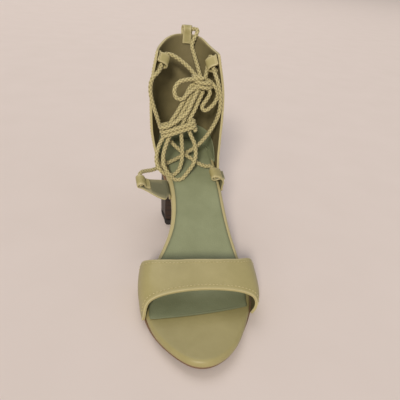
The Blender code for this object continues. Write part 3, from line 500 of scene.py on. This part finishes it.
def mouldedRubber():
    material, tree, shader, place = newMaterial("mouldedRubber", tipRubber["roughness"])
    grit = addNode(tree, "ShaderNodeTexNoise", {
        "Vector": place, "Scale": 1000 / tipRubber["gritMm"], "Detail": 3.0})
    colour = addNode(tree, "ShaderNodeMix", {
        0: grit.outputs["Fac"],
        6: hexColour(tipRubber["shade"]),
        7: hexColour(tipRubber["lit"]),
    }, data_type="RGBA")
    tree.links.new(colour.outputs[2], shader.inputs["Base Color"])
    bump = addNode(tree, "ShaderNodeBump", {
        "Strength": tipRubber["gritBump"],
        "Distance": tipRubber["gritDeep"] * mm,
        "Height": grit.outputs["Fac"],
    })
    tree.links.new(bump.outputs["Normal"], shader.inputs["Normal"])
    return material


finishes = {
    "strap": leather("oliveCowLeather", strapLeather),
    "lining": leather("sheepskinLining", liningLeather),
    "sock": leather("sagePigskin", sockLeather),
    "tab": leather("darkerPigskin", tabBacking),
    "sole": leather("buffedSoleLeather", soleLeather),
    "stack": stainedStack(),
    "rubber": mouldedRubber(),
}
print("finishes made")


# A solid's own shape with its triangles paired to quads, then rounded:
# the cut edges keep part of their sharpness, and they take the finish's edge colour: paler wear on most
# pieces, a painted shadow line on the sock
rounded = {
    "weld": 0.01, "pairFlat": 35, "pairShape": 75,  # mm, and the widest angles between paired triangles
    "sharp": 50, "facing": 0.5, "markStep": 0.5, "wearAndShadeWide": 1.1,
}


def pairedCopy(nodeName):
    bm = bmesh.new()
    bm.from_mesh(nodes[nodeName].data)
    bmesh.ops.remove_doubles(bm, verts=bm.verts[:], dist=rounded["weld"] * mm)
    bmesh.ops.join_triangles(bm, faces=bm.faces[:], angle_face_threshold=math.radians(rounded["pairFlat"]),
                             angle_shape_threshold=math.radians(rounded["pairShape"]))
    bm.normal_update()
    bm.faces.index_update()
    bm.faces.ensure_lookup_table()
    return bm


def sideLabels(bm, sharp):
    labels = [-1] * len(bm.faces)
    count = 0
    for seed in bm.faces:
        if labels[seed.index] >= 0:
            continue
        labels[seed.index] = count
        stack = [seed]
        while stack:
            face = stack.pop()
            for edge in face.edges:
                if edge.calc_face_angle(0.0) > sharp:
                    continue
                for other in edge.link_faces:
                    if labels[other.index] < 0:
                        labels[other.index] = count
                        stack.append(other)
        count += 1
    return labels


def labelNear(bm, labels, point, normal):
    facing = [f for f in bm.faces if f.normal.dot(normal) > rounded["facing"]]
    return labels[min(facing, key=lambda f: (f.calc_center_median() - point).length).index]


def sideRows(bm, labels, label, inset, keep):
    follow = {}
    for face in bm.faces:
        if labels[face.index] != label:
            continue
        for loop in face.loops:
            if any(labels[other.index] != label for other in loop.edge.link_faces):
                ahead = (loop.link_loop_next.vert.co - loop.vert.co).normalized()
                follow[loop.vert.index] = (loop.link_loop_next.vert.index, face.normal.cross(ahead))
    bm.verts.ensure_lookup_table()
    rows = []
    while follow:
        chain = []
        at = next(iter(follow))
        while at in follow:
            ahead, inward = follow.pop(at)
            chain.append((at, inward))
            at = ahead
        run = []
        for k, (vert, inward) in enumerate(chain + chain[:1]):
            lean = (inward + chain[k - 1][1]).normalized()
            spot = bm.verts[vert].co + lean * inset
            if keep(bm.verts[vert].co):
                run.append(spot)
            elif run:
                rows.append(run)
                run = []
        if run:
            rows.append(run)
    return [row for row in rows if len(row) > 2]


def edgeMarks(bm, sharp):
    marks = []
    for edge in bm.edges:
        if edge.calc_face_angle(0.0) > sharp:
            a, b = edge.verts[0].co, edge.verts[1].co
            steps = max(1, int((b - a).length / (rounded["markStep"] * mm)))
            marks += [a.lerp(b, k / steps) for k in range(steps + 1)]
    tree = KDTree(max(1, len(marks)))
    for k, mark in enumerate(marks):
        tree.insert(mark, k)
    tree.balance()
    return tree, bool(marks)


def bakedMesh(temporary):
    seen = temporary.evaluated_get(bpy.context.evaluated_depsgraph_get())
    mesh = bpy.data.meshes.new_from_object(seen)
    spent = temporary.data
    bpy.data.objects.remove(temporary)
    bpy.data.meshes.remove(spent)
    return mesh


# Listed creases: middle, way they run, length, width and depth in mm; a minus depth is a ridge
creases = {
    "toeStrap": [
        ((-36, 66, 24), (0.1, 1.0, 0.1), 26, 5.0, 0.5),
        ((37, 62, 22), (-0.1, 1.0, 0.1), 24, 5.0, 0.5),
        ((-18, 70, 33), (0.5, 1.0, 0.0), 22, 4.5, 0.28),
        ((-10, 70, 35), (0.5, 1.0, 0.0), 20, 4.0, -0.2),
        ((14, 66, 34), (-0.4, 1.0, 0.0), 20, 4.0, 0.22),
        ((22, 66, 32), (-0.4, 1.0, 0.0), 20, 4.0, -0.2),
    ],
    "counterShell": [
        ((-30, 200, 128), (0.3, 0.5, -0.8), 34, 5.5, 1.0),
        ((-29, 204, 139), (0.3, 0.5, -0.8), 30, 5.0, -0.7),
        ((24, 203, 126), (-0.3, 0.6, -0.7), 32, 5.5, 1.0),
        ((21, 206, 137), (-0.3, 0.6, -0.7), 28, 5.0, -0.7),
        ((-8, 222, 140), (0.1, 0.0, 1.0), 34, 6.0, 0.7),
        ((4, 221, 118), (0.8, 0.0, 0.35), 24, 4.0, 0.5),
        ((-16, 219, 104), (0.8, -0.2, -0.3), 22, 4.0, 0.45),
        ((-33, 188, 96), (0.0, 0.6, 0.8), 26, 5.0, 0.5),
        ((28, 188, 96), (0.0, 0.6, 0.8), 26, 5.0, 0.5),
    ],
    "sockLining": [
        ((-2, 92, 12), (1.0, 0.1, 0.0), 40, 2.5, 0.16),
        ((2, 103, 17), (1.0, -0.12, 0.0), 36, 2.5, 0.14),
        ((0, 124, 29), (1.0, 0.05, 0.0), 30, 3.0, 0.12),
    ],
}


def pressCreases(mesh, rows):
    count = len(mesh.vertices)
    flat = np.empty(count * 3)
    mesh.vertices.foreach_get("co", flat)
    points = flat.reshape(-1, 3)
    normals = np.empty(count * 3)
    mesh.vertices.foreach_get("normal", normals)
    normals = normals.reshape(-1, 3)
    outward = np.zeros((count, 3))
    for middle, way, length, width, depth in rows:
        middle = np.array(shoePoint(*middle))
        way = np.array(Vector(way).normalized())
        reach = (points - middle) / mm
        run = reach @ way
        off = np.linalg.norm(reach - run[:, None] * way, axis=1)
        nearest = np.argmin(np.linalg.norm(reach, axis=1))
        facing = normals[nearest]
        amount = depth * np.exp(-(off / width) ** 2) * np.exp(-(2 * run / length) ** 4)
        outward -= facing * amount[:, None] * mm
    mesh.vertices.foreach_set("co", (points + outward).ravel())
    mesh.update()


def softPiece(name, nodeName, coats, crease, sides=(), levels=2, rows=(), paintedHighlight=None):
    bm = pairedCopy(nodeName)
    sharp = math.radians(rounded["sharp"])
    labels = sideLabels(bm, sharp)
    for point, normal, coat in sides:
        wanted = labelNear(bm, labels, shoePoint(*point), Vector(normal))
        for face in bm.faces:
            if labels[face.index] == wanted:
                face.material_index = coat
    stitchLines = []
    for point, normal, inset, keep in rows:
        wanted = labelNear(bm, labels, shoePoint(*point), Vector(normal))
        stitchLines += sideRows(bm, labels, wanted, inset * mm, keep)
    marks, wornAndLitEdges = edgeMarks(bm, sharp)
    hold = bm.edges.layers.float.new("crease_edge")
    for edge in bm.edges:
        if edge.calc_face_angle(0.0) > sharp:
            edge[hold] = crease
    mesh = bpy.data.meshes.new(name)
    bm.to_mesh(mesh)
    bm.free()
    temporary = bpy.data.objects.new(name, mesh)
    bpy.context.collection.objects.link(temporary)
    for coat in coats:
        mesh.materials.append(finishes[coat])
    rounding = temporary.modifiers.new("rounding", "SUBSURF")
    rounding.levels = levels
    rounding.render_levels = levels
    mesh = bakedMesh(temporary)
    mesh.name = name
    mesh.polygons.foreach_set("use_smooth", [True] * len(mesh.polygons))
    if name in creases:
        pressCreases(mesh, creases[name])
    wearAndPaintedLight = mesh.attributes.new("edgeWearAndPaintedLight", "FLOAT", "POINT")
    if wornAndLitEdges:
        wide = rounded["wearAndShadeWide"] * mm
        near = [math.exp(-(marks.find(v.co)[2] / wide) ** 2) for v in mesh.vertices]
        # painted highlight: where the given function asks for it, more of the edge colour is mixed in
        if paintedHighlight:
            near = [max(share, paintedHighlight(v.co / mm)) for share, v in zip(near, mesh.vertices)]
        wearAndPaintedLight.data.foreach_set("value", near)
    piece = bpy.data.objects.new(name, mesh)
    bpy.context.collection.objects.link(piece)
    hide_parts(nodeName)
    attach(piece, "root")
    print(f"{name} {len(mesh.polygons)} faces, {max(labels) + 1} sides, {len(stitchLines)} rows")
    return piece, stitchLines


# Bonded thread in a lockstitch: short raised dashes in a paler olive
thread = {
    "lit": "c8bf94", "shade": "b3aa7e", "roughness": 0.6, "twistMm": 0.8,
    "pitch": 2.6, "length": 1.8, "thick": 0.66, "lift": 0.12, "rowStep": 1.0, "segments": 8, "rings": 5,
}


def bondedThread():
    material, tree, shader, place = newMaterial("bondedThread", thread["roughness"])
    twist = addNode(tree, "ShaderNodeTexNoise", {
        "Vector": place, "Scale": 1000 / thread["twistMm"], "Detail": 2.0})
    colour = addNode(tree, "ShaderNodeMix", {
        0: twist.outputs["Fac"],
        6: hexColour(thread["shade"]),
        7: hexColour(thread["lit"]),
    }, data_type="RGBA")
    tree.links.new(colour.outputs[2], shader.inputs["Base Color"])
    return material


def stitchTree(material):
    tree = bpy.data.node_groups.new("stitchRows", "GeometryNodeTree")
    tree.interface.new_socket("Rows", in_out="INPUT", socket_type="NodeSocketGeometry")
    for name in ("Pitch", "Length", "Thick"):
        tree.interface.new_socket(name, in_out="INPUT", socket_type="NodeSocketFloat")
    tree.interface.new_socket("Stitches", in_out="OUTPUT", socket_type="NodeSocketGeometry")
    given = addNode(tree, "NodeGroupInput")
    lines = addNode(tree, "GeometryNodeMeshToCurve", {"Mesh": given.outputs["Rows"]})
    marks = addNode(tree, "GeometryNodeCurveToPoints", {
        "Curve": lines.outputs[0], "Length": given.outputs["Pitch"]}, mode="LENGTH")
    turn = addNode(tree, "FunctionNodeAlignRotationToVector", {"Vector": marks.outputs["Tangent"]}, axis="X")
    bead = addNode(tree, "GeometryNodeMeshUVSphere", {
        "Segments": thread["segments"], "Rings": thread["rings"], "Radius": 0.5})
    size = addNode(tree, "ShaderNodeCombineXYZ", {
        0: given.outputs["Length"], 1: given.outputs["Thick"], 2: given.outputs["Thick"]})
    dash = addNode(tree, "GeometryNodeTransform", {"Geometry": bead.outputs[0], "Scale": size.outputs[0]})
    laid = addNode(tree, "GeometryNodeInstanceOnPoints", {
        "Points": marks.outputs["Points"], "Instance": dash.outputs[0], "Rotation": turn.outputs[0]})
    real = addNode(tree, "GeometryNodeRealizeInstances", {0: laid.outputs[0]})
    smooth = addNode(tree, "GeometryNodeSetShadeSmooth", {0: real.outputs[0]})
    dyed = addNode(tree, "GeometryNodeSetMaterial", {"Geometry": smooth.outputs[0], "Material": material})
    addNode(tree, "NodeGroupOutput", {"Stitches": dyed.outputs[0]})
    return tree


threadTree = stitchTree(bondedThread())


def stitchPiece(name, piece, lines):
    shape = BVHTree.FromObject(piece, bpy.context.evaluated_depsgraph_get())
    points, edges = [], []
    for line in lines:
        path = smoothPath([p / mm for p in line], thread["rowStep"])[0]
        start = len(points)
        for spot in path:
            at, normal = shape.find_nearest(Vector(spot) * mm)[:2]
            points.append(at + normal * thread["lift"] * mm)
        edges += [(k, k + 1) for k in range(start, len(points) - 1)]
    mesh = bpy.data.meshes.new(name)
    mesh.from_pydata([tuple(p) for p in points], edges, [])
    temporary = bpy.data.objects.new(name, mesh)
    bpy.context.collection.objects.link(temporary)
    sewn = temporary.modifiers.new("stitches", "NODES")
    sewn.node_group = threadTree
    sockets = {item.name: item.identifier for item in threadTree.interface.items_tree}
    sewn[sockets["Pitch"]] = thread["pitch"] * mm
    sewn[sockets["Length"]] = thread["length"] * mm
    sewn[sockets["Thick"]] = thread["thick"] * mm
    mesh = bakedMesh(temporary)
    mesh.name = name
    stitches = bpy.data.objects.new(name, mesh)
    bpy.context.collection.objects.link(stitches)
    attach(stitches, "root")
    beadFaces = thread["segments"] * thread["rings"]
    print(f"{name} {len(mesh.polygons) // beadFaces} stitches")


# Sole, footbed, sock and heel; behind the strap the footbed is painted paler, a painted highlight on its rim
rimHighlight = {"from": 84.0, "wearAndLightShare": 0.65}
softPiece("soleSheet", "outsole", ["sole"], crease=0.7)
footbedWrap, _ = softPiece(
    "footbedWrap", "footbed", ["strap"], crease=0.4,
    paintedHighlight=lambda p: rimHighlight["wearAndLightShare"] if p.y > rimHighlight["from"] - middleStation else 0.0,
)
sockLining, _ = softPiece("sockLining", "insole_sock", ["sock"], crease=0.5)
softPiece("heelBlock", "heel_block", ["stack"], crease=0.85)
softPiece("heelTip", "heel_top_piece", ["rubber"], crease=0.85)

# Toe strap: olive outside, lined inside, a row of stitches along both edges
strap, strapRows = softPiece(
    "toeStrap", "toe_strap", ["strap", "lining"], levels=3, crease=0.55,
    sides=[((0, 70, 30), (0, 0, -1), 1)],
    rows=[((0, 70, 38), (0, 0, 1), 3.2, lambda p: p.z > 9 * mm)],
)
stitchPiece("strapStitches", strap, strapRows)

# Counter: olive outside, lined inside, stitched along its top and front edges
counterShell, counterRows = softPiece(
    "counterShell", "counter", ["strap", "lining"], crease=0.55,
    sides=[((-4, 218, 110), (0, -1, 0), 1)],
    rows=[((-4, 226, 110), (0, 1, 0), 2.8, lambda p: p.z > 72 * mm)],
)
stitchPiece("counterStitches", counterShell, counterRows)

# Heel grip: a half moon of the sock's leather, glued inside the counter's back
# and lapped over the seat's rim
heelGrip = {
    "axis": (-2.0, 199.0), "sweep": 116.0, "probe": 76.0,  # looked for outward from an upright axis
    "top": 84.0, "curve": 0.55, "end": 1.0, "lap": 5.0, "off": 0.3, "thick": 0.5,
    "across": 60, "up": 14, "lapRows": 4,
}


def seatBelow(spot, floors):
    above = Vector((spot.x, spot.y, heelGrip["probe"] * mm))
    hits = (floor.ray_cast(above, Vector((0, 0, -1)))[0] for floor in floors)
    return max((hit.z for hit in hits if hit), default=None)


def gripColumn(wall, floors, share):
    angle = math.radians(share * heelGrip["sweep"])
    way = Vector((math.sin(angle), math.cos(angle), 0))
    spot = wall.ray_cast(shoePoint(*heelGrip["axis"], heelGrip["probe"]), way)[0]
    seat = None
    while seat is None:
        spot -= way * mm
        seat = seatBelow(spot, floors)
    low = seat / mm + heelGrip["off"]
    high = low + heelGrip["end"]
    high += (heelGrip["top"] - high) * math.cos(share * math.pi / 2) ** heelGrip["curve"]
    column = []
    for j in range(heelGrip["up"] + 1):
        height = low + (high - low) * j / heelGrip["up"]
        column.append(wall.ray_cast(shoePoint(*heelGrip["axis"], height), way)[:2])
    foot = column[0][0]
    for k in range(1, heelGrip["lapRows"] + 1):
        spot = foot - way * heelGrip["lap"] * mm * k / heelGrip["lapRows"]
        seat = seatBelow(spot, floors)
        spot.z = foot.z if seat is None else seat
        column.insert(0, (spot, Vector((0, 0, 1))))
    return column


def makeHeelGrip(shell, seats):
    graph = bpy.context.evaluated_depsgraph_get()
    wall = BVHTree.FromObject(shell, graph)
    floors = [BVHTree.FromObject(seat, graph) for seat in seats]
    wide, tall = heelGrip["across"] + 1, heelGrip["up"] + 1 + heelGrip["lapRows"]
    columns = [gripColumn(wall, floors, 2 * i / (wide - 1) - 1) for i in range(wide)]
    points = []
    for off in (heelGrip["off"], heelGrip["off"] + heelGrip["thick"]):
        points += [spot + normal * off * mm for column in columns for spot, normal in column]
    faces = []
    for i in range(wide - 1):
        for j in range(tall - 1):
            a, b, c, d = i * tall + j, (i + 1) * tall + j, (i + 1) * tall + j + 1, i * tall + j + 1
            faces.append((d, c, b, a))
            faces.append(tuple(wide * tall + k for k in (a, b, c, d)))
    rim = ([i * tall for i in range(wide)] + [(wide - 1) * tall + j for j in range(1, tall)]
           + [i * tall + tall - 1 for i in range(wide - 2, -1, -1)] + list(range(tall - 2, 0, -1)))
    for a, b in zip(rim, rim[1:] + rim[:1]):
        faces.append((a, b, wide * tall + b, wide * tall + a))
    grip = meshObject("heelGrip", points, faces)
    grip.data.materials.append(finishes["sock"])
    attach(grip, "root")
    print(f"heelGrip {len(faces)} faces")


makeHeelGrip(counterShell, (footbedWrap, sockLining))

# Loops and tabs
for loopName, loopNode in (("backLoop", "back_loop"), ("medialEarLoop", "medial_ear_loop"),
                           ("lateralEarLoop", "lateral_ear_loop")):
    softPiece(loopName, loopNode, ["strap"], crease=0.5)
softPiece("medialTab", "medial_tab", ["strap", "tab"],
          sides=[((-29, 148.3, 54), (0.36, -0.41, 0.84), 1)], crease=0.5)
softPiece("lateralTab", "lateral_tab", ["strap", "tab"],
          sides=[((26.7, 161.6, 53.6), (-1, 0, 0), 1)], crease=0.5)


# Floor and light: a pale sheet, one soft sun from the left of the lens, a weak fill and a wide light behind
studio = {
    "floor": "e6dcd8", "floorShade": "e0d6d1", "floorSide": 30.0, "floorDrop": 0.3, "floorRoughness": 0.9,
    "fibreMm": 60, "world": "e6e3e2", "worldStrength": 0.34, "aim": (0.0, 0.03, 0.06),
    "lights": {
        # the key is a sun: its power is in W/m2, the others' in W
        "keyLight": {"place": (-0.40, -1.34, 0.86), "spread": 12.5, "power": 2.4, "tint": "fff4e6"},
        "fillLight": {"place": (0.8, -0.3, 0.7), "size": 0.8, "power": 0.3, "tint": "f6f4ff"},
        "backLight": {"place": (-0.4, 2.4, 4.2), "size": 4.0, "power": 68.0, "tint": "fff6f2"},
    },
}


def paperSweep():
    material, tree, shader, place = newMaterial("paperSweep", studio["floorRoughness"])
    fibres = addNode(tree, "ShaderNodeTexNoise", {
        "Vector": place, "Scale": 1000 / studio["fibreMm"], "Detail": 3.0})
    colour = addNode(tree, "ShaderNodeMix", {
        0: fibres.outputs["Fac"],
        6: hexColour(studio["floorShade"]),
        7: hexColour(studio["floor"]),
    }, data_type="RGBA")
    tree.links.new(colour.outputs[2], shader.inputs["Base Color"])
    return material


def makeStudio():
    half = studio["floorSide"] / 2
    low = -studio["floorDrop"] * mm
    corners = [(-half, -half, low), (half, -half, low), (half, half, low), (-half, half, low)]
    floor = meshObject("floor", corners, [(0, 1, 2, 3)], smooth=False)
    floor.data.materials.append(paperSweep())
    aim = Vector(studio["aim"])
    for name, values in studio["lights"].items():
        data = bpy.data.lights.new(name, "SUN" if "spread" in values else "AREA")
        if "spread" in values:
            data.angle = math.radians(values["spread"])
        else:
            data.shape = "DISK"
            data.size = values["size"]
        data.energy = values["power"]
        data.color = hexColour(values["tint"])[:3]
        light = bpy.data.objects.new(name, data)
        bpy.context.collection.objects.link(light)
        light.location = values["place"]
        light.rotation_euler = (aim - light.location).to_track_quat("-Z", "Y").to_euler()
    world = bpy.data.worlds.new("studioWorld")
    world.use_nodes = True
    backdrop = world.node_tree.nodes["Background"]
    backdrop.inputs["Color"].default_value = hexColour(studio["world"])
    backdrop.inputs["Strength"].default_value = studio["worldStrength"]
    bpy.context.scene.world = world
    bpy.context.scene.view_settings.view_transform = "Standard"


makeStudio()
print("studio set")
